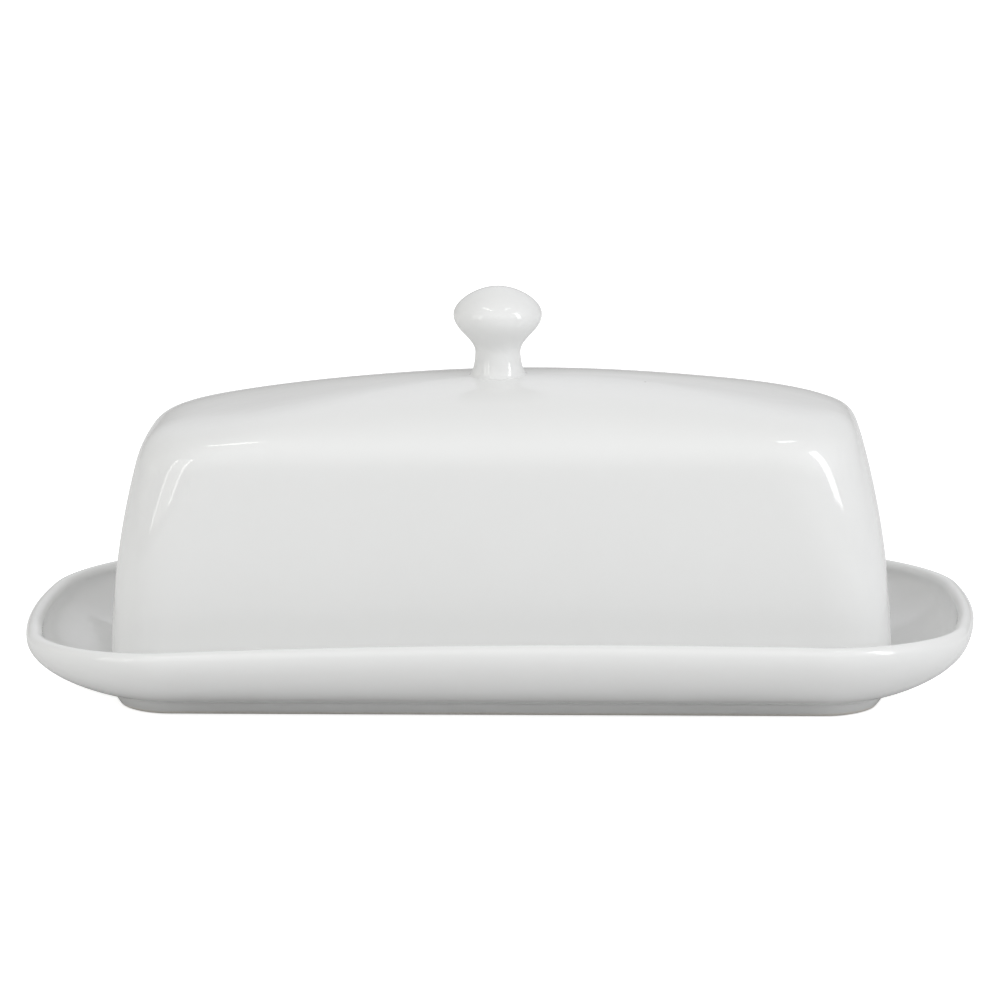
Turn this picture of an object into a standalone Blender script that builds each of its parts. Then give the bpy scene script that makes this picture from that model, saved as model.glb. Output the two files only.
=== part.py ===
"""Covered butter dish in glazed porcelain: an oblong tray, a domed lid and the knob luted on to it.

Metres, +Z up. The origin is on the table under the middle of the dish, and +X runs along its length.
"""

import math

import bmesh
import bpy
from mathutils import Vector
from mathutils.geometry import interpolate_bezier

SEAT_GAP = 0.0003  # between two pieces that rest on each other

# Tray
TRAY_HALF_LENGTH = 0.1016
TRAY_HALF_WIDTH = 0.0510
TRAY_CORNER_RADIUS = 0.0273
TRAY_END_BOW = 0.0088  # how far the middle of each end stands out past the corners
RIM_HEIGHT = 0.0173  # top of the lip at the two ends
RIM_RISE = 0.0024  # how much higher the lip is halfway along the long sides
RIM_TWIST = 0.0012  # firing warp: the lip's front edge climbs this much towards +X and falls towards -X
LIP_RADIUS = 0.0017
WALL_INSET = 0.0171  # from the rim's outer edge in to the top of the foot, at the ends
SIDE_SPREAD = 1.15  # the same distance along the long sides, as a ratio
WALL_BULGE_OUT = 1.37  # exponents of the wall's rounded section
WALL_BULGE_OUT_SIDE = 1.20  # the long sides are a little straighter than the ends
WALL_BULGE_DOWN = 1.90
FOOT_HEIGHT = 0.0030
FOOT_TAPER = 0.0018  # the foot narrows this much towards the table
FOOT_WIDTH = 0.0032
BASE_RECESS = 0.0020  # the underside inside the foot ring stands this far off the table
FLOOR_HEIGHT = 0.0060
FLOOR_INSET = 0.0168  # from the rim's outer edge in to the flat floor, at the ends

# Lid
LID_OFFSET = 0.0006  # the lid stands this far towards +X of the tray's middle
LID_HALF_LENGTH = 0.0834
LID_HALF_WIDTH = 0.0310
LID_CORNER_REACH = 0.0141  # how far a corner of the plan extends along each side, at the lower edge
LID_CORNER_GROWTH = 0.0125  # how much further it extends by the height of the top
LID_CORNER_CURVE = 2.03
LID_CORNER_SHARE = 0.98  # the most of the half width that a corner takes up near the crown
LID_CORNER_POWER = 2.79  # exponent of the corner: 2 would be a true arc
LID_END_BOW = 0.0014  # how far the middle of each end and of each long side stands out past the corners
LID_SIDE_BOW = 0.0009
LID_BASE = FLOOR_HEIGHT + SEAT_GAP
LID_TOP = 0.0679
LID_SHOULDER = 0.0502  # height at which the walls start to round over
LID_TAPER = 0.0111  # how far the ends would lean in by the height of the top
LID_TAPER_CURVE = 2.12
LID_CROWN = 0.0114  # drop of the top from its highest point to its ends
LID_CROWN_CENTRE = 0.0065  # the crown's high point, towards +X
LID_CROWN_CURVE = 3.5  # how late on the way up the crown makes itself felt
LID_LEFT_ROUNDING = 3.12  # exponents of the rounding over the -X end, the +X end and the long sides
LID_RIGHT_ROUNDING = 5.55
LID_SIDE_ROUNDING = 2.46
LID_THICKNESS = 0.0036
LID_EDGE_RADIUS = 0.0010

# Knob, turned about a vertical axis
KNOB_OFFSET = -0.0009  # from the middle of the lid, along its length
KNOB_RADIUS = 0.00946
KNOB_TOP = 0.0868
KNOB_WAIST = 0.0808  # height of the widest point
NECK_RADIUS = 0.00484
NECK_HEIGHT = 0.0727  # height of the narrowest point
KNOB_FOOT_RADIUS = 0.0059
KNOB_FOOT_EDGE = 0.0004
KNOB_FULLNESS = 0.47  # handle length of the curve over the top: 0.55 would be a true oval

# Mesh density
CORNER_STEPS = 8
SIDE_STEPS = 8
END_STEPS = 4
WALL_STEPS = 8
LIP_STEPS = 6
LID_WALL_STEPS = 4
LID_DOME_STEPS = 9
KNOB_STEPS = 32
KNOB_CURVE_POINTS = 8


def clear_scene():
    for item in list(bpy.data.objects):
        bpy.data.objects.remove(item, do_unlink=True)


def porcelain(name, colour, roughness):
    """A plain Principled material for one part."""
    material = bpy.data.materials.new(name)
    material.use_nodes = True
    shader = material.node_tree.nodes["Principled BSDF"]
    shader.inputs["Base Color"].default_value = (*colour, 1.0)
    shader.inputs["Roughness"].default_value = roughness
    shader.inputs["Metallic"].default_value = 0.0
    return material


def plan_outline(half_length, half_width, corner_reach, corner_power, end_bow, side_bow):
    """Anticlockwise plan outline: four superelliptic corners joined by straight runs.

    The middles of the ends and of the long sides then bow outwards past the corners.
    """
    centre_x = half_length - corner_reach
    centre_y = half_width - corner_reach
    corners = ((1, 1), (-1, 1), (-1, -1), (1, -1))
    points = []
    for index, (side_x, side_y) in enumerate(corners):
        run_steps = SIDE_STEPS
        next_x, next_y = corners[(index + 1) % 4]
        run_start = Vector((side_x * centre_x, side_y * half_width))
        run_end = Vector((next_x * centre_x, next_y * half_width))
        if index % 2 == 1:
            run_steps = END_STEPS
            run_start = Vector((side_x * half_length, side_y * centre_y))
            run_end = Vector((next_x * half_length, next_y * centre_y))
        for step in range(CORNER_STEPS):
            angle = step / CORNER_STEPS * math.pi / 2
            ahead = math.sin(angle) ** (2 / corner_power)
            behind = math.cos(angle) ** (2 / corner_power)
            if index % 2 == 1:
                ahead, behind = behind, ahead
            x = side_x * (centre_x + corner_reach * behind)
            y = side_y * (centre_y + corner_reach * ahead)
            points.append(Vector((x, y)))
        for step in range(run_steps):
            points.append(run_start.lerp(run_end, step / run_steps))
    for point in points:
        end_drop = end_bow / half_length * (point.y / half_width) ** 2
        side_drop = side_bow / half_width * (point.x / half_length) ** 2
        point.x *= 1 - end_drop
        point.y *= 1 - side_drop
    return points


def loft(name, rings):
    """One closed smooth-shaded mesh through rings of equal length.

    A ring of one point is a pole; a first or last ring of many points is closed with a flat face.
    """
    mesh_builder = bmesh.new()
    levels = [[mesh_builder.verts.new(point) for point in ring] for ring in rings]
    for lower, upper in zip(levels, levels[1:]):
        count = max(len(lower), len(upper))
        for index in range(count):
            following = (index + 1) % count
            if len(lower) == 1:
                mesh_builder.faces.new((lower[0], upper[following], upper[index]))
            elif len(upper) == 1:
                mesh_builder.faces.new((lower[index], lower[following], upper[0]))
            else:
                mesh_builder.faces.new((lower[index], lower[following], upper[following], upper[index]))
    if len(levels[0]) > 1:
        mesh_builder.faces.new(list(reversed(levels[0])))
    if len(levels[-1]) > 1:
        mesh_builder.faces.new(levels[-1])
    mesh = bpy.data.meshes.new(name)
    mesh_builder.to_mesh(mesh)
    mesh_builder.free()
    mesh.shade_smooth()
    mesh.set_sharp_from_angle(angle=math.radians(50))
    return mesh


def add_part(name, mesh, material, location=(0, 0, 0)):
    mesh.materials.append(material)
    part = bpy.data.objects.new(name, mesh)
    part.location = location
    bpy.context.scene.collection.objects.link(part)
    return part


def bulge(top, bottom):
    """Stations down a rounded wall section from `top` to `bottom`, without its first one."""
    stations = []
    for step in range(1, WALL_STEPS + 1):
        angle = step / WALL_STEPS * math.pi / 2
        across_end = 1 - math.cos(angle) ** (2 / WALL_BULGE_OUT)
        across_side = 1 - math.cos(angle) ** (2 / WALL_BULGE_OUT_SIDE)
        down = math.sin(angle) ** (2 / WALL_BULGE_DOWN)
        end_inset = top.x + (bottom.x - top.x) * across_end
        side_inset = top.y + (bottom.y - top.y) * across_side
        stations.append(Vector((end_inset, side_inset, top.z + (bottom.z - top.z) * down)))
    return stations


def tray_section():
    """The tray's section in two runs of stations: the outside and the lip, then the inner wall.

    A station is (inset at the ends, inset along the long sides, height).
    """
    lip_centre = RIM_HEIGHT - LIP_RADIUS
    foot_top = Vector((WALL_INSET, WALL_INSET * SIDE_SPREAD, FOOT_HEIGHT))
    foot = [
        Vector((foot_top.x + inset, foot_top.y + inset, height))
        for inset, height in (
            (FOOT_TAPER + FOOT_WIDTH + BASE_RECESS, BASE_RECESS),
            (FOOT_TAPER + FOOT_WIDTH, 0.0),
            (FOOT_TAPER, 0.0),
            (FOOT_TAPER * 0.3, FOOT_HEIGHT * 0.45),
        )
    ]
    outer_wall = bulge(Vector((0.0, 0.0, lip_centre)), foot_top)
    lip = []
    for step in range(LIP_STEPS + 1):
        angle = step / LIP_STEPS * math.pi
        inset = LIP_RADIUS * (1 - math.cos(angle))
        lip.append(Vector((inset, inset, lip_centre + LIP_RADIUS * math.sin(angle))))
    inner_wall = bulge(lip[-1], Vector((FLOOR_INSET, FLOOR_INSET * SIDE_SPREAD, FLOOR_HEIGHT)))
    outside = [*foot, *reversed(outer_wall), *lip]
    return outside, inner_wall


def tray_ring(station, flat_height):
    """One level of the tray. Above `flat_height` it follows the rim's rise along the sides, and its warp."""
    end_inset, side_inset, height = station
    outline = plan_outline(
        TRAY_HALF_LENGTH - end_inset,
        TRAY_HALF_WIDTH - side_inset,
        TRAY_CORNER_RADIUS - end_inset,
        2.0,
        TRAY_END_BOW * (1 - end_inset / TRAY_HALF_WIDTH),
        0.0,
    )
    share = max(0.0, (height - flat_height) / (RIM_HEIGHT - flat_height))
    ring = []
    for point in outline:
        along = point.x / TRAY_HALF_LENGTH
        towards_front = (1 - point.y / TRAY_HALF_WIDTH) / 2
        lift = RIM_RISE * (1 - along ** 2) + RIM_TWIST * along * towards_front
        ring.append((point.x, point.y, height + share * lift))
    return ring


def build_tray():
    outside, inner_wall = tray_section()
    rings = [tray_ring(station, FOOT_HEIGHT) for station in outside]
    rings += [tray_ring(station, FLOOR_HEIGHT) for station in inner_wall]
    add_part("tray", loft("tray", rings), porcelain("tray_porcelain", (0.83, 0.83, 0.81), 0.08))


def superellipse_reach(climb, exponent):
    """How far out, 1 to 0, a superellipse still reaches at a height of `climb`, 0 to 1."""
    return (1 - climb ** exponent) ** (1 / exponent)


def lid_ring(inset, wall_part, climb):
    """One level of a lid surface lying `inset` inside the outer one.

    `wall_part` runs 0 to 1 up the wall, and `climb` 0 to 1 from the shoulder up to the crown.
    """
    top = LID_TOP - inset
    shoulder = LID_SHOULDER - inset / 2
    height = LID_BASE + (shoulder - LID_BASE) * wall_part + (top - shoulder) * climb
    rise = (height - LID_BASE) / (LID_TOP - LID_BASE)
    half_length = LID_HALF_LENGTH - inset - LID_TAPER * rise ** LID_TAPER_CURVE
    half_width = LID_HALF_WIDTH - inset
    reach_left = half_length * superellipse_reach(climb, LID_LEFT_ROUNDING)
    reach_right = half_length * superellipse_reach(climb, LID_RIGHT_ROUNDING)
    reach_side = half_width * superellipse_reach(climb, LID_SIDE_ROUNDING)
    reach_end = (reach_right + reach_left) / 2
    corner = LID_CORNER_REACH - inset + LID_CORNER_GROWTH * rise ** LID_CORNER_CURVE
    outline = plan_outline(
        reach_end,
        reach_side,
        min(corner, reach_side * LID_CORNER_SHARE),
        LID_CORNER_POWER,
        LID_END_BOW * reach_end / LID_HALF_LENGTH,
        LID_SIDE_BOW * reach_side / LID_HALF_WIDTH,
    )
    ring = []
    for point in outline:
        x = (reach_right - reach_left) / 2 + point.x
        from_crown = (x - LID_CROWN_CENTRE) / LID_HALF_LENGTH
        crown_drop = LID_CROWN * climb ** LID_CROWN_CURVE * from_crown ** 2
        ring.append((x, point.y, height - crown_drop))
    return ring


def lid_skin(inset, first_wall_part):
    """Rings of one lid surface from just above its lower edge to its crown, which is a pole."""
    rings = []
    for step in range(LID_WALL_STEPS):
        wall_part = first_wall_part + (1 - first_wall_part) * step / LID_WALL_STEPS
        rings.append(lid_ring(inset, wall_part, 0.0))
    crowding = LID_RIGHT_ROUNDING / 2
    for step in range(LID_DOME_STEPS):
        share = step / LID_DOME_STEPS
        angle = math.pi / 2 * share ** crowding / (share ** crowding + (1 - share) ** crowding)
        rings.append(lid_ring(inset, 1.0, math.sin(angle) ** (1 / crowding)))
    crown_drop = LID_CROWN * (LID_CROWN_CENTRE / LID_HALF_LENGTH) ** 2
    rings.append([(0.0, 0.0, LID_TOP - inset - crown_drop)])
    return rings


def build_lid():
    """The lid is an open-bottomed shell. Its object's origin is on the lift axis, at its lower edge."""
    edge_part = LID_EDGE_RADIUS / (LID_SHOULDER - LID_BASE)
    outer = lid_skin(0.0, edge_part)
    inner = lid_skin(LID_THICKNESS, edge_part)
    lower_edge = [lid_ring(LID_THICKNESS - LID_EDGE_RADIUS, 0.0, 0.0), lid_ring(LID_EDGE_RADIUS, 0.0, 0.0)]
    rings = [*reversed(inner), *lower_edge, *outer]
    local = [[(x, y, z - LID_BASE) for x, y, z in ring] for ring in rings]
    material = porcelain("lid_porcelain", (0.83, 0.83, 0.81), 0.07)
    return add_part("lid", loft("lid", local), material, (LID_OFFSET, 0, LID_BASE))


def knob_section():
    """The knob's section (radius, height above its foot), from under its foot up to its top."""
    foot = LID_TOP + SEAT_GAP
    edge = [Vector((KNOB_FOOT_RADIUS, foot)), Vector((KNOB_FOOT_RADIUS, foot + KNOB_FOOT_EDGE))]
    neck = Vector((NECK_RADIUS, NECK_HEIGHT))
    waist = Vector((KNOB_RADIUS, KNOB_WAIST))
    top = Vector((0.0, KNOB_TOP))
    flare = interpolate_bezier(
        edge[1],
        edge[1].lerp(Vector((NECK_RADIUS, edge[1].y)), 0.7),
        neck.lerp(Vector((NECK_RADIUS, edge[1].y)), 0.5),
        neck,
        KNOB_CURVE_POINTS,
    )
    underside = interpolate_bezier(
        neck,
        neck.lerp(Vector((NECK_RADIUS, KNOB_WAIST)), 0.26),
        waist.lerp(Vector((KNOB_RADIUS, NECK_HEIGHT)), 0.42),
        waist,
        KNOB_CURVE_POINTS,
    )
    crown = interpolate_bezier(
        waist,
        waist.lerp(Vector((KNOB_RADIUS, KNOB_TOP)), KNOB_FULLNESS),
        top.lerp(Vector((KNOB_RADIUS, KNOB_TOP)), KNOB_FULLNESS),
        top,
        KNOB_CURVE_POINTS,
    )
    return [edge[0], *flare, *underside[1:], *crown[1:]]


def build_knob(lid):
    rings = []
    for radius, height in knob_section():
        above_lid_edge = height - LID_BASE
        if radius <= 0.0:
            rings.append([(0.0, 0.0, above_lid_edge)])
            continue
        turns = [2 * math.pi * step / KNOB_STEPS for step in range(KNOB_STEPS)]
        rings.append([(radius * math.cos(turn), radius * math.sin(turn), above_lid_edge) for turn in turns])
    knob = add_part("knob", loft("knob", rings), porcelain("knob_porcelain", (0.83, 0.83, 0.81), 0.07))
    knob.location.x = KNOB_OFFSET
    knob.parent = lid


clear_scene()
build_tray()
build_knob(build_lid())
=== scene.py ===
"""Looks of the covered butter dish: glazed porcelain tray, lid and knob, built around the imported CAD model.

Metres, +Z up, in the CAD model's frame: the origin is on the table under the middle of the dish.
"""

import math

import bmesh
import bpy
from mathutils import Matrix, Vector
from mathutils.geometry import interpolate_bezier


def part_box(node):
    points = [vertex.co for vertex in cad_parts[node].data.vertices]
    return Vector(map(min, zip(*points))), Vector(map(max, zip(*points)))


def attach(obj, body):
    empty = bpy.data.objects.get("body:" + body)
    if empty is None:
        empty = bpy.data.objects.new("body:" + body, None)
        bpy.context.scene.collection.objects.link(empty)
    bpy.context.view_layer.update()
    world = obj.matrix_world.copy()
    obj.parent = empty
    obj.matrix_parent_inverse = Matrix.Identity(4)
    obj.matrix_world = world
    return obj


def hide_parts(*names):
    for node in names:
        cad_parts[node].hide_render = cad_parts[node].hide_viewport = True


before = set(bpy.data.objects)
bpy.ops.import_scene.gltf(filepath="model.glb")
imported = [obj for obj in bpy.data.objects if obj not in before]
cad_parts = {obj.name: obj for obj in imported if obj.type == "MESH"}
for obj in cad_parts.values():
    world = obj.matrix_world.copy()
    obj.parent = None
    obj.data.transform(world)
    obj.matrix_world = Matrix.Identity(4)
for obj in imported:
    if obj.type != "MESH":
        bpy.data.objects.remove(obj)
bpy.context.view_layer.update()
_, TRAY_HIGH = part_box("tray")
LID_LOW, LID_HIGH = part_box("lid")
KNOB_LOW, KNOB_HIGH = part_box("knob")

# Tray
TRAY_HALF_LENGTH = TRAY_HIGH.x
TRAY_HALF_WIDTH = TRAY_HIGH.y
TRAY_CORNER_RADIUS = 0.0273
TRAY_CORNER_POWER = 2.0  # a circular arc
TRAY_END_BOW = 0.0088
TRAY_SIDE_BOW = 0.0
RIM_RISE = 0.0024  # the rim is highest at the middle of the long sides
RIM_TWIST = 0.0012  # kiln warp along the front of the rim
RIM_HEIGHT = TRAY_HIGH.z - RIM_RISE - RIM_TWIST ** 2 / (4 * RIM_RISE)
LIP_RADIUS = 0.0017
WALL_INSET = 0.0171  # how far the foot stands in from the rim at the ends
SIDE_SPREAD = 1.15  # the same along the sides, as a share of that at the ends
WALL_BULGE_OUT = 1.37  # exponents of the wall's rounded section
WALL_BULGE_OUT_SIDE = 1.20
WALL_BULGE_DOWN = 1.90
FOOT_HEIGHT = 0.0030
FOOT_TAPER = 0.0018
FOOT_WIDTH = 0.0032
FOOT_CORNER = 0.0007  # rounding of the foot ring's two lower edges
FOOT_JOINT = 0.0009  # glaze gathered where the wall meets the foot
BASE_RECESS = 0.0020
FLOOR_HEIGHT = 0.0060
FLOOR_INSET = 0.0168

# Lid
LID_OFFSET = (LID_LOW.x + LID_HIGH.x) / 2
LID_HALF_LENGTH = (LID_HIGH.x - LID_LOW.x) / 2
LID_HALF_WIDTH = LID_HIGH.y
LID_CORNER_REACH = 0.0141
LID_CORNER_GROWTH = 0.0125  # how much further a plan corner reaches at the crown than at the lower edge
LID_CORNER_CURVE = 2.03
LID_CORNER_SHARE = 0.98  # the most of the half width that a corner takes up near the crown
LID_CORNER_POWER = 2.79  # fuller than a circular arc
LID_END_BOW = 0.0014
LID_SIDE_BOW = 0.0009
LID_BASE = LID_LOW.z
LID_TOP = LID_HIGH.z
LID_DOME_HEIGHT = 0.0177
LID_SHOULDER = LID_TOP - LID_DOME_HEIGHT
LID_TAPER = 0.0111  # how far each end leans in between the lower edge and the crown
LID_TAPER_CURVE = 2.12
LID_CROWN = 0.0114  # how far the top falls from its highest place over half the lid's length
LID_CROWN_CENTRE = 0.0065
LID_CROWN_CURVE = 3.5
LID_LEFT_ROUNDING = 3.12  # exponents of the rounded shoulders
LID_RIGHT_ROUNDING = 5.55
LID_SIDE_ROUNDING = 2.46
LID_THICKNESS = 0.0036
LID_EDGE_RADIUS = 0.0012

# Knob
KNOB_CENTRE = (KNOB_LOW.x + KNOB_HIGH.x) / 2
KNOB_RADIUS = KNOB_HIGH.y
KNOB_TOP = KNOB_HIGH.z
KNOB_CAP_HEIGHT = 0.0060
KNOB_HEAD_HEIGHT = 0.0141
KNOB_WAIST = KNOB_TOP - KNOB_CAP_HEIGHT
NECK_HEIGHT = KNOB_TOP - KNOB_HEAD_HEIGHT
NECK_RADIUS = 0.00484
KNOB_FILLET_RADIUS = 0.0062
KNOB_BURIAL = 0.0003  # how deep the foot of the knob sits in the lid
# Fullness of the section's curves, 0 to 1: the flare at the lid and at the neck, the underside
# of the head at the neck and at its widest, and the cap
FLARE_LID_FULLNESS = 0.35
FLARE_NECK_FULLNESS = 0.55
UNDERSIDE_NECK_FULLNESS = 0.36
UNDERSIDE_WAIST_FULLNESS = 0.42
CAP_FULLNESS = 0.47

# Porcelain: noise scales are in cells per metre, depths in metres
GLAZE_COLOURS = ((0.800, 0.802, 0.797, 1.0), (0.822, 0.824, 0.822, 1.0))
BISQUE_COLOURS = ((0.70, 0.67, 0.62, 1.0), (0.80, 0.78, 0.74, 1.0))
GLAZE_ROUGHNESS = (0.03, 0.08)
BISQUE_ROUGHNESS = (0.65, 0.85)
GLAZE_IOR = 1.5
CLOUD_SCALE = 22.0
RIPPLE_SCALE = 45.0
RIPPLE_DEPTH = 0.0006
RIPPLE_STRENGTH = 0.10
PEEL_SCALE = 260.0
PEEL_DEPTH = 0.0003
PEEL_STRENGTH = 0.06
GRAIN_SCALE = 2600.0
GRAIN_DEPTH = 0.0002
SMOOTH_DETAIL = 2.0
GRAIN_DETAIL = 3.0
FOOT_BARE_HEIGHT = 0.0006  # the foot ring is wiped clean of glaze up to here
LID_BARE_HEIGHT = LID_BASE + 0.0005
BARE_EDGE = 0.0004  # how raggedly the glaze stops
PINHOLE = Vector((0.0312, -0.0043, LID_TOP - 0.0010))  # a speck burnt out of the glaze of the lid's top
PINHOLE_RADIUS = 0.00032
PINHOLE_COLOUR = (0.42, 0.40, 0.37, 1.0)

# Mesh density
CORNER_STEPS = 28
SIDE_STEPS = 40
END_STEPS = 18
WALL_STEPS = 40
LIP_STEPS = 20
FLOOR_STEPS = 12
EDGE_STEPS = 10
LID_WALL_STEPS = 28
LID_DOME_STEPS = 64
KNOB_STEPS = 128
KNOB_CURVE_POINTS = 28

# Studio: azimuth and elevation in degrees from the dish, azimuth 0 in front of it and 90 to its right.
# Each glow is (azimuth, elevation, sharpness, strength, colour)
STUDIO_GLOWS = (
    (57, 30, 11.3, 0.90, (0.985, 1.0, 1.03)),
    (-100, 13, 33.0, 0.50, (1.0, 1.0, 0.90)),
    (180, 32, 7.6, 0.48, (0.98, 1.0, 1.05)),
    (-18, 40, 6.9, 0.82, (0.97, 1.0, 1.0)),
)
STUDIO_AMBIENT = (0.435, 0.430, 0.425)
HORIZON_FALLOFF = 0.27  # the glows fade out below this height on the sky, 0 at the horizon and 1 overhead
BACKDROP_GLOW = 1.05
STAGE_SIZE = 20.0
STAGE_ROUGHNESS = 0.9
STAGE_FLOOR_HEIGHT = -0.0002
STAGE_FLOOR_ALBEDO = 0.80
STAGE_FLOOR_GLOW = 0.75
STAGE_TABLE_HEIGHT = -0.0006
STAGE_TABLE_ALBEDO = 0.82
SOFTBOX_DISTANCE = 1.3
SOFTBOX_AIM_HEIGHT = 0.04
WARM = (1.0, 0.99, 0.95)
COOL = (0.98, 0.99, 1.0)
# Each softbox is (name, azimuth, elevation, width, height, radiance, colour)
SOFTBOXES = (
    ("softbox_left", -54, 18, 0.39, 0.76, 1.0, WARM),
    ("softbox_left_near_edge", -44.5, 18, 0.07, 0.76, 3.8, WARM),
    ("softbox_left_far_edge", -64, 18, 0.07, 0.76, 3.6, WARM),
    ("softbox_right", 60, 25, 0.24, 0.92, 6.0, COOL),
    ("lamp_upper_left", -51, 67, 0.55, 0.06, 6.0, WARM),
    ("lamp_upper_right", 58, 68, 0.30, 0.07, 6.0, COOL),
)

# Camera
CAMERA_AZIMUTH = math.radians(2.131)
CAMERA_HEIGHT = 0.2587
CAMERA_DISTANCE = 1.0760
CAMERA_AIM_HEIGHT = 0.0403
CAMERA_ROLL = math.radians(-0.283)
CAMERA_LENS = 184.0
CAMERA_SENSOR = 36.0


def new_mesh(name, rings):
    """One closed smooth-shaded mesh through rings of equal length; a ring of one point is a pole."""
    builder = bmesh.new()
    levels = [[builder.verts.new(point) for point in ring] for ring in rings]
    for lower, upper in zip(levels, levels[1:]):
        count = max(len(lower), len(upper))
        for index in range(count):
            following = (index + 1) % count
            if len(lower) == 1:
                builder.faces.new((lower[0], upper[following], upper[index]))
            elif len(upper) == 1:
                builder.faces.new((lower[index], lower[following], upper[0]))
            else:
                builder.faces.new((lower[index], lower[following], upper[following], upper[index]))
    mesh = bpy.data.meshes.new(name)
    builder.to_mesh(mesh)
    builder.free()
    mesh.shade_smooth()
    return mesh


def add_piece(name, rings, material, body, node):
    """A finished piece of porcelain that takes the place of a CAD node."""
    mesh = new_mesh(name, rings)
    mesh.materials.append(material)
    piece = bpy.data.objects.new(name, mesh)
    bpy.context.scene.collection.objects.link(piece)
    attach(piece, body)
    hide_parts(node)


def plan_outline(half_length, half_width, corner_reach, corner_power, end_bow, side_bow):
    """Anticlockwise plan outline: four superelliptic corners joined by straight runs.

    The middles of the ends and of the long sides then bow outwards past the corners.
    """
    centre_x = half_length - corner_reach
    centre_y = half_width - corner_reach
    corners = ((1, 1), (-1, 1), (-1, -1), (1, -1))
    points = []
    for index, (side_x, side_y) in enumerate(corners):
        run_steps = SIDE_STEPS
        next_x, next_y = corners[(index + 1) % 4]
        run_start = Vector((side_x * centre_x, side_y * half_width))
        run_end = Vector((next_x * centre_x, next_y * half_width))
        if index % 2 == 1:
            run_steps = END_STEPS
            run_start = Vector((side_x * half_length, side_y * centre_y))
            run_end = Vector((next_x * half_length, next_y * centre_y))
        for step in range(CORNER_STEPS):
            angle = step / CORNER_STEPS * math.pi / 2
            ahead = math.sin(angle) ** (2 / corner_power)
            behind = math.cos(angle) ** (2 / corner_power)
            if index % 2 == 1:
                ahead, behind = behind, ahead
            x = side_x * (centre_x + corner_reach * behind)
            y = side_y * (centre_y + corner_reach * ahead)
            points.append(Vector((x, y)))
        for step in range(run_steps):
            points.append(run_start.lerp(run_end, step / run_steps))
    for point in points:
        end_drop = end_bow / half_length * (point.y / half_width) ** 2
        side_drop = side_bow / half_width * (point.x / half_length) ** 2
        point.x *= 1 - end_drop
        point.y *= 1 - side_drop
    return points


def round_corner(before, corner, after, radius, steps):
    """Stations of a smooth curve that cuts the corner between two straight runs of a section."""
    start = corner + (before - corner).normalized() * min(radius, (before - corner).length)
    end = corner + (after - corner).normalized() * min(radius, (after - corner).length)
    curve = []
    for step in range(steps + 1):
        share = step / steps
        curve.append(start.lerp(corner, share).lerp(corner.lerp(end, share), share))
    return curve


def bulge(top, bottom):
    """Stations down a rounded wall section from `top` to `bottom`, without its first one."""
    stations = []
    for step in range(1, WALL_STEPS + 1):
        angle = step / WALL_STEPS * math.pi / 2
        across_end = 1 - math.cos(angle) ** (2 / WALL_BULGE_OUT)
        across_side = 1 - math.cos(angle) ** (2 / WALL_BULGE_OUT_SIDE)
        down = math.sin(angle) ** (2 / WALL_BULGE_DOWN)
        end_inset = top.x + (bottom.x - top.x) * across_end
        side_inset = top.y + (bottom.y - top.y) * across_side
        stations.append(Vector((end_inset, side_inset, top.z + (bottom.z - top.z) * down)))
    return stations


def tray_section():
    """The tray's section in two runs of stations: the underside, foot, outer wall and lip, then the inside.

    A station is (inset at the ends, inset along the long sides, height).
    """
    lip_centre = RIM_HEIGHT - LIP_RADIUS
    foot_top = Vector((WALL_INSET, WALL_INSET * SIDE_SPREAD, FOOT_HEIGHT))

    def foot_station(inset, height):
        return Vector((foot_top.x + inset, foot_top.y + inset, height))

    recess = foot_station(FOOT_TAPER + FOOT_WIDTH + BASE_RECESS, BASE_RECESS)
    far_in = foot_station(FOOT_TAPER + FOOT_WIDTH + 3 * BASE_RECESS, BASE_RECESS)
    inner_edge = foot_station(FOOT_TAPER + FOOT_WIDTH, 0.0)
    outer_edge = foot_station(FOOT_TAPER, 0.0)
    outer_wall = list(reversed(bulge(Vector((0.0, 0.0, lip_centre)), foot_top)))
    outside = [
        *round_corner(far_in, recess, inner_edge, BASE_RECESS, EDGE_STEPS),
        *round_corner(recess, inner_edge, outer_edge, FOOT_CORNER, EDGE_STEPS),
        *round_corner(inner_edge, outer_edge, foot_top, FOOT_CORNER, EDGE_STEPS),
    ]
    beyond = [station for station in outer_wall if (foot_top - station).length > FOOT_JOINT]
    outside += round_corner(outer_edge, foot_top, beyond[0], FOOT_JOINT, EDGE_STEPS)
    outside += beyond
    lip = []
    for step in range(LIP_STEPS + 1):
        angle = step / LIP_STEPS * math.pi
        inset = LIP_RADIUS * (1 - math.cos(angle))
        lip.append(Vector((inset, inset, lip_centre + LIP_RADIUS * math.sin(angle))))
    inner_wall = bulge(lip[-1], Vector((FLOOR_INSET, FLOOR_INSET * SIDE_SPREAD, FLOOR_HEIGHT)))
    return [*outside, *lip], inner_wall


def tray_ring(station, flat_height):
    """One level of the tray. Above `flat_height` it follows the rim's rise along the sides and its warp."""
    end_inset, side_inset, height = station
    outline = plan_outline(
        TRAY_HALF_LENGTH - end_inset,
        TRAY_HALF_WIDTH - side_inset,
        TRAY_CORNER_RADIUS - end_inset,
        TRAY_CORNER_POWER,
        TRAY_END_BOW * (1 - end_inset / TRAY_HALF_WIDTH),
        TRAY_SIDE_BOW,
    )
    share = max(0.0, (height - flat_height) / (RIM_HEIGHT - flat_height))
    ring = []
    for point in outline:
        along = point.x / TRAY_HALF_LENGTH
        towards_front = (1 - point.y / TRAY_HALF_WIDTH) / 2
        lift = RIM_RISE * (1 - along ** 2) + RIM_TWIST * along * towards_front
        ring.append(Vector((point.x, point.y, height + share * lift)))
    return ring


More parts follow.
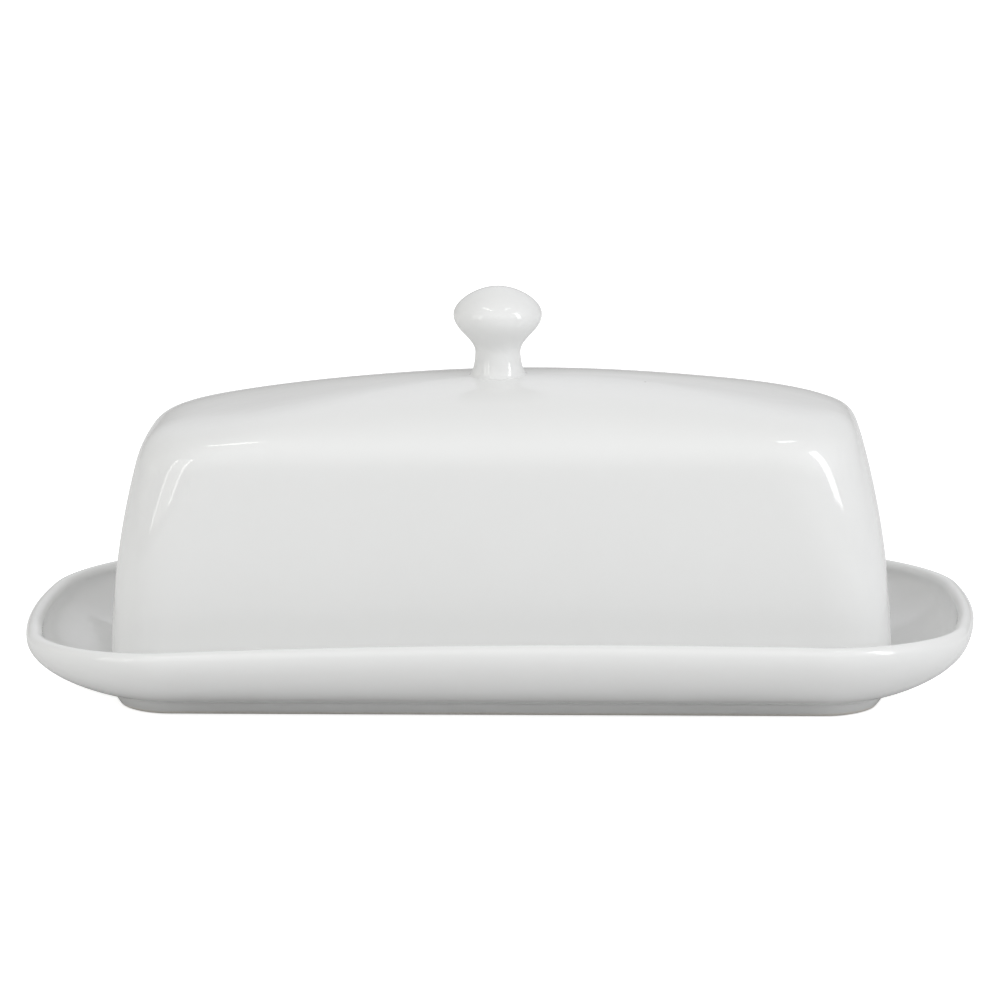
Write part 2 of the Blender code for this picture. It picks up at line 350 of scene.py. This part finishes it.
def flat_disc(edge_ring, steps):
    """Rings from just inside a level ring to its middle, which is a pole."""
    height = edge_ring[0].z
    rings = []
    for step in range(1, steps):
        size = 1 - step / steps
        rings.append([Vector((point.x * size, point.y * size, height)) for point in edge_ring])
    rings.append([Vector((0.0, 0.0, height))])
    return rings


def tray_rings():
    """Rings over the tray's whole surface, from the middle of its underside to the middle of its floor."""
    outside, inner_wall = tray_section()
    rings = [tray_ring(station, FOOT_HEIGHT) for station in outside]
    rings += [tray_ring(station, FLOOR_HEIGHT) for station in inner_wall]
    underside = list(reversed(flat_disc(rings[0], FLOOR_STEPS)))
    return [*underside, *rings, *flat_disc(rings[-1], FLOOR_STEPS)]


def superellipse_reach(climb, exponent):
    """How far out, 1 to 0, a superellipse still reaches at a height of `climb`, 0 to 1."""
    return (1 - climb ** exponent) ** (1 / exponent)


def lid_ring(inset, wall_part, climb):
    """One level of a lid surface lying `inset` inside the outer one.

    `wall_part` runs 0 to 1 up the wall, and `climb` 0 to 1 from the shoulder up to the crown.
    """
    top = LID_TOP - inset
    shoulder = LID_SHOULDER - inset / 2
    height = LID_BASE + (shoulder - LID_BASE) * wall_part + (top - shoulder) * climb
    rise = (height - LID_BASE) / (LID_TOP - LID_BASE)
    half_length = LID_HALF_LENGTH - inset - LID_TAPER * rise ** LID_TAPER_CURVE
    half_width = LID_HALF_WIDTH - inset
    reach_left = half_length * superellipse_reach(climb, LID_LEFT_ROUNDING)
    reach_right = half_length * superellipse_reach(climb, LID_RIGHT_ROUNDING)
    reach_side = half_width * superellipse_reach(climb, LID_SIDE_ROUNDING)
    reach_end = (reach_right + reach_left) / 2
    corner = LID_CORNER_REACH - inset + LID_CORNER_GROWTH * rise ** LID_CORNER_CURVE
    outline = plan_outline(
        reach_end,
        reach_side,
        min(corner, reach_side * LID_CORNER_SHARE),
        LID_CORNER_POWER,
        LID_END_BOW * reach_end / LID_HALF_LENGTH,
        LID_SIDE_BOW * reach_side / LID_HALF_WIDTH,
    )
    ring = []
    for point in outline:
        x = (reach_right - reach_left) / 2 + point.x
        from_crown = (x - LID_CROWN_CENTRE) / LID_HALF_LENGTH
        crown_drop = LID_CROWN * climb ** LID_CROWN_CURVE * from_crown ** 2
        ring.append(Vector((LID_OFFSET + x, point.y, height - crown_drop)))
    return ring


def lid_skin(inset, first_wall_part):
    """Rings of one lid surface from just above its lower edge to its crown, which is a pole."""
    rings = []
    for step in range(LID_WALL_STEPS):
        wall_part = first_wall_part + (1 - first_wall_part) * step / LID_WALL_STEPS
        rings.append(lid_ring(inset, wall_part, 0.0))
    crowding = LID_RIGHT_ROUNDING / 2  # draws the rings together where the shoulder turns fastest
    for step in range(LID_DOME_STEPS):
        share = step / LID_DOME_STEPS
        angle = math.pi / 2 * share ** crowding / (share ** crowding + (1 - share) ** crowding)
        rings.append(lid_ring(inset, 1.0, math.sin(angle) ** (1 / crowding)))
    crown_drop = LID_CROWN * (LID_CROWN_CENTRE / LID_HALF_LENGTH) ** 2
    rings.append([Vector((LID_OFFSET, 0.0, LID_TOP - inset - crown_drop))])
    return rings


def lid_rings():
    """The lid's inner skin from the crown down, its rounded lower edge, then its outer skin up again."""
    wall_height = LID_SHOULDER - LID_BASE
    outer = lid_skin(0.0, LID_EDGE_RADIUS / wall_height)
    inner = lid_skin(LID_THICKNESS, LID_EDGE_RADIUS / wall_height)
    lower_edge = []
    for side, corner_inset in ((-1, LID_THICKNESS - LID_EDGE_RADIUS), (1, LID_EDGE_RADIUS)):
        for step in range(1, EDGE_STEPS):
            angle = step / EDGE_STEPS * math.pi / 2
            if side < 0:
                inset = corner_inset + LID_EDGE_RADIUS * math.cos(angle)
                drop = math.sin(angle)
            else:
                inset = corner_inset - LID_EDGE_RADIUS * math.sin(angle)
                drop = math.cos(angle)
            wall_part = LID_EDGE_RADIUS * (1 - drop) / wall_height
            lower_edge.append(lid_ring(inset, wall_part, 0.0))
    return [*reversed(inner), *lower_edge, *outer]


def lid_top_height(x):
    """Height of the lid's top along its middle, at `x` from the middle of the lid."""
    return LID_TOP - LID_CROWN * ((x - LID_CROWN_CENTRE) / LID_HALF_LENGTH) ** 2


def knob_section():
    """The knob's section (radius, height), from the lid up to just short of its top."""
    foot = Vector((KNOB_FILLET_RADIUS, LID_TOP))
    neck = Vector((NECK_RADIUS, NECK_HEIGHT))
    waist = Vector((KNOB_RADIUS, KNOB_WAIST))
    top = Vector((0.0, KNOB_TOP))
    flare = interpolate_bezier(
        foot,
        foot.lerp(Vector((NECK_RADIUS, LID_TOP)), FLARE_LID_FULLNESS),
        neck.lerp(Vector((NECK_RADIUS, LID_TOP)), FLARE_NECK_FULLNESS),
        neck,
        KNOB_CURVE_POINTS,
    )
    underside = interpolate_bezier(
        neck,
        neck.lerp(Vector((NECK_RADIUS, KNOB_WAIST)), UNDERSIDE_NECK_FULLNESS),
        waist.lerp(Vector((KNOB_RADIUS, NECK_HEIGHT)), UNDERSIDE_WAIST_FULLNESS),
        waist,
        KNOB_CURVE_POINTS,
    )
    cap = interpolate_bezier(
        waist,
        waist.lerp(Vector((KNOB_RADIUS, KNOB_TOP)), CAP_FULLNESS),
        top.lerp(Vector((KNOB_RADIUS, KNOB_TOP)), CAP_FULLNESS),
        top,
        KNOB_CURVE_POINTS,
    )
    return [*flare, *underside[1:], *cap[1:-1]]


def knob_rings():
    """The knob with its luted joint: the flare runs out level with the lid's crowned top."""
    rings = []
    for radius, height in knob_section():
        near_lid = max(0.0, 1 - (height - LID_TOP) / (NECK_HEIGHT - LID_TOP))
        ring = []
        for step in range(KNOB_STEPS):
            turn = 2 * math.pi * step / KNOB_STEPS
            x = KNOB_CENTRE + radius * math.cos(turn)
            drop = LID_TOP - lid_top_height(x - LID_OFFSET)
            ring.append(Vector((x, radius * math.sin(turn), height - drop * near_lid)))
        rings.append(ring)
    buried = [point - Vector((0, 0, KNOB_BURIAL)) for point in rings[0]]
    middle = [Vector((KNOB_CENTRE, 0.0, LID_TOP - 2 * KNOB_BURIAL))]
    summit = [Vector((KNOB_CENTRE, 0.0, KNOB_TOP))]
    return [middle, buried, *rings, summit]


class Nodes:
    """Adds and links the shader nodes of one material or world."""

    def __init__(self, owner):
        owner.use_nodes = True
        self.tree = owner.node_tree

    def add(self, kind, output, inputs=(), **settings):
        """A new node's `output`. Each input is a plain value or the output of another node."""
        node = self.tree.nodes.new(kind)
        for name, value in settings.items():
            setattr(node, name, value)
        self.fill(node, dict(inputs))
        return node.outputs[output]

    def fill(self, node, inputs):
        for socket, value in inputs.items():
            if isinstance(value, bpy.types.NodeSocket):
                self.tree.links.new(value, node.inputs[socket])
            else:
                node.inputs[socket].default_value = value

    def noise(self, place, scale, detail):
        inputs = {"Vector": place, "Scale": scale, "Detail": detail}
        return self.add("ShaderNodeTexNoise", "Fac", inputs)

    def mix(self, factor, first, second, data_type):
        inputs = {"Factor": factor, "A": first, "B": second}
        return self.add("ShaderNodeMix", "Result", inputs, data_type=data_type)

    def ramp(self, value, to_range, from_range=(0.0, 1.0)):
        """`value` carried over from one range to another, and held within it."""
        return self.add("ShaderNodeMapRange", "Result", {
            "Value": value,
            "From Min": from_range[0],
            "From Max": from_range[1],
            "To Min": to_range[0],
            "To Max": to_range[1],
        })

    def calculate(self, operation, *values):
        return self.add("ShaderNodeMath", "Value", enumerate(values), operation=operation)

    def combine(self, operation, output, inputs):
        return self.add("ShaderNodeVectorMath", output, inputs, operation=operation)

    def bump(self, height, strength, distance, under=None):
        """The normal of a surface with the relief `height` on it, over the relief `under`."""
        inputs = {"Height": height, "Strength": strength, "Distance": distance}
        if under is not None:
            inputs["Normal"] = under
        return self.add("ShaderNodeBump", "Normal", inputs)


def glaze(name, bare_height, pinhole=None):
    """White porcelain under a clear glossy glaze, bare below `bare_height` where it stood in the kiln."""
    material = bpy.data.materials.new(name)
    nodes = Nodes(material)
    place = nodes.add("ShaderNodeTexCoord", "Object")
    cloud = nodes.noise(place, CLOUD_SCALE, SMOOTH_DETAIL)
    grain = nodes.noise(place, GRAIN_SCALE, GRAIN_DETAIL)
    ripple = nodes.noise(place, RIPPLE_SCALE, SMOOTH_DETAIL)
    peel = nodes.noise(place, PEEL_SCALE, SMOOTH_DETAIL)

    height = nodes.add("ShaderNodeSeparateXYZ", "Z", {"Vector": place})
    ragged = nodes.calculate("MULTIPLY_ADD", ripple, BARE_EDGE, height)
    bare = nodes.ramp(ragged, (1.0, 0.0), (bare_height + BARE_EDGE / 2, bare_height + BARE_EDGE))

    glazed = nodes.mix(cloud, *GLAZE_COLOURS, "RGBA")
    bisque = nodes.mix(grain, *BISQUE_COLOURS, "RGBA")
    colour = nodes.mix(bare, glazed, bisque, "RGBA")
    if pinhole is not None:
        away = nodes.combine("DISTANCE", "Value", {0: place, 1: pinhole})
        spot = nodes.ramp(away, (1.0, 0.0), (PINHOLE_RADIUS / 2, PINHOLE_RADIUS))
        colour = nodes.mix(spot, colour, PINHOLE_COLOUR, "RGBA")

    gloss = nodes.ramp(peel, GLAZE_ROUGHNESS)
    matt = nodes.ramp(grain, BISQUE_ROUGHNESS)
    rough = nodes.mix(bare, gloss, matt, "FLOAT")

    wave = nodes.bump(ripple, RIPPLE_STRENGTH, RIPPLE_DEPTH)
    skin = nodes.bump(peel, PEEL_STRENGTH, PEEL_DEPTH, wave)
    sandy = nodes.bump(grain, bare, GRAIN_DEPTH, skin)
    nodes.fill(nodes.tree.nodes["Principled BSDF"], {
        "Base Color": colour,
        "Roughness": rough,
        "Normal": sandy,
        "IOR": GLAZE_IOR,
    })
    return material


def add_plane(name, height, albedo, glow):
    """A wide level surface that isn't part of the dish."""
    mesh = bpy.data.meshes.new(name)
    builder = bmesh.new()
    bmesh.ops.create_grid(builder, x_segments=1, y_segments=1, size=STAGE_SIZE / 2)
    builder.to_mesh(mesh)
    builder.free()
    material = bpy.data.materials.new(name)
    nodes = Nodes(material)
    nodes.fill(nodes.tree.nodes["Principled BSDF"], {
        "Base Color": (albedo, albedo, albedo, 1.0),
        "Roughness": STAGE_ROUGHNESS,
        "Specular IOR Level": 0.0,
        "Emission Color": (1.0, 1.0, 1.0, 1.0),
        "Emission Strength": glow,
    })
    mesh.materials.append(material)
    plane = bpy.data.objects.new(name, mesh)
    plane.location.z = height
    bpy.context.scene.collection.objects.link(plane)
    return plane


def build_stage():
    """A white floor that only the camera sees, just over a table that lights the dish from below."""
    floor = add_plane("floor", STAGE_FLOOR_HEIGHT, STAGE_FLOOR_ALBEDO, STAGE_FLOOR_GLOW)
    floor.visible_diffuse = False
    floor.visible_glossy = False
    floor.visible_transmission = False
    floor.visible_shadow = False
    table = add_plane("table", STAGE_TABLE_HEIGHT, STAGE_TABLE_ALBEDO, 0.0)
    table.visible_camera = False


def aim(azimuth, elevation):
    """Unit vector from the dish towards an azimuth and an elevation, both in degrees."""
    azimuth = math.radians(azimuth)
    elevation = math.radians(elevation)
    return Vector((
        math.sin(azimuth) * math.cos(elevation),
        -math.cos(azimuth) * math.cos(elevation),
        math.sin(elevation),
    ))


def build_world():
    """A white studio to the camera; to the dish, a faint even light and a few soft glows."""
    world = bpy.data.worlds.new("studio")
    bpy.context.scene.world = world
    nodes = Nodes(world)
    direction = nodes.add("ShaderNodeTexCoord", "Generated")
    upward = nodes.add("ShaderNodeSeparateXYZ", "Z", {"Vector": direction})
    horizon = nodes.add(
        "ShaderNodeMapRange",
        "Result",
        {"Value": upward, "From Max": HORIZON_FALLOFF},
        interpolation_type="SMOOTHSTEP",
    )
    glows = (0.0, 0.0, 0.0)
    for azimuth, elevation, sharpness, strength, colour in STUDIO_GLOWS:
        facing = nodes.combine("DOT_PRODUCT", "Value", {0: direction, 1: aim(azimuth, elevation)})
        exponent = nodes.calculate("MULTIPLY_ADD", facing, sharpness, -sharpness)
        falloff = nodes.calculate("EXPONENT", exponent)
        glow = nodes.combine("SCALE", "Vector", {0: Vector(colour) * strength, "Scale": falloff})
        glows = nodes.combine("ADD", "Vector", {0: glows, 1: glow})
    faded = nodes.combine("SCALE", "Vector", {0: glows, "Scale": horizon})
    light = nodes.combine("ADD", "Vector", {0: faded, 1: STUDIO_AMBIENT})
    camera_ray = nodes.add("ShaderNodeLightPath", "Is Camera Ray")
    backdrop = (BACKDROP_GLOW, BACKDROP_GLOW, BACKDROP_GLOW)
    seen = nodes.mix(camera_ray, light, backdrop, "VECTOR")
    nodes.fill(nodes.tree.nodes["Background"], {"Color": seen})


def add_softbox(name, azimuth, elevation, width, height, radiance, colour):
    """A rectangular area light of even `radiance`, facing the middle of the dish."""
    light = bpy.data.lights.new(name, "AREA")
    light.shape = "RECTANGLE"
    light.size = width
    light.size_y = height
    light.color = colour
    light.energy = radiance * width * height * math.pi
    lamp = bpy.data.objects.new(name, light)
    direction = aim(azimuth, elevation)
    lamp.location = Vector((0, 0, SOFTBOX_AIM_HEIGHT)) + direction * SOFTBOX_DISTANCE
    lamp.rotation_mode = "QUATERNION"
    lamp.rotation_quaternion = direction.to_track_quat("Z", "Y")
    lamp.visible_camera = False
    bpy.context.scene.collection.objects.link(lamp)


def build_camera():
    data = bpy.data.cameras.new("camera")
    data.lens = CAMERA_LENS
    data.sensor_width = CAMERA_SENSOR
    camera = bpy.data.objects.new("camera", data)
    camera.location = (
        CAMERA_DISTANCE * math.sin(CAMERA_AZIMUTH),
        -CAMERA_DISTANCE * math.cos(CAMERA_AZIMUTH),
        CAMERA_HEIGHT,
    )
    sight = Vector((0, 0, CAMERA_AIM_HEIGHT)) - camera.location
    level = sight.to_track_quat("-Z", "Y").to_matrix()
    camera.rotation_euler = (level @ Matrix.Rotation(CAMERA_ROLL, 3, "Z")).to_euler()
    bpy.context.scene.collection.objects.link(camera)
    bpy.context.scene.camera = camera


bpy.context.scene.view_settings.view_transform = "Standard"
tray_glaze = glaze("tray_glaze", FOOT_BARE_HEIGHT)
lid_glaze = glaze("lid_glaze", LID_BARE_HEIGHT, PINHOLE)
knob_glaze = glaze("knob_glaze", 0.0)
add_piece("tray_glazed", tray_rings(), tray_glaze, "tray", "tray")
add_piece("lid_glazed", lid_rings(), lid_glaze, "lid", "lid")
add_piece("knob_glazed", knob_rings(), knob_glaze, "lid", "knob")
build_stage()
build_world()
for softbox in SOFTBOXES:
    add_softbox(*softbox)
build_camera()
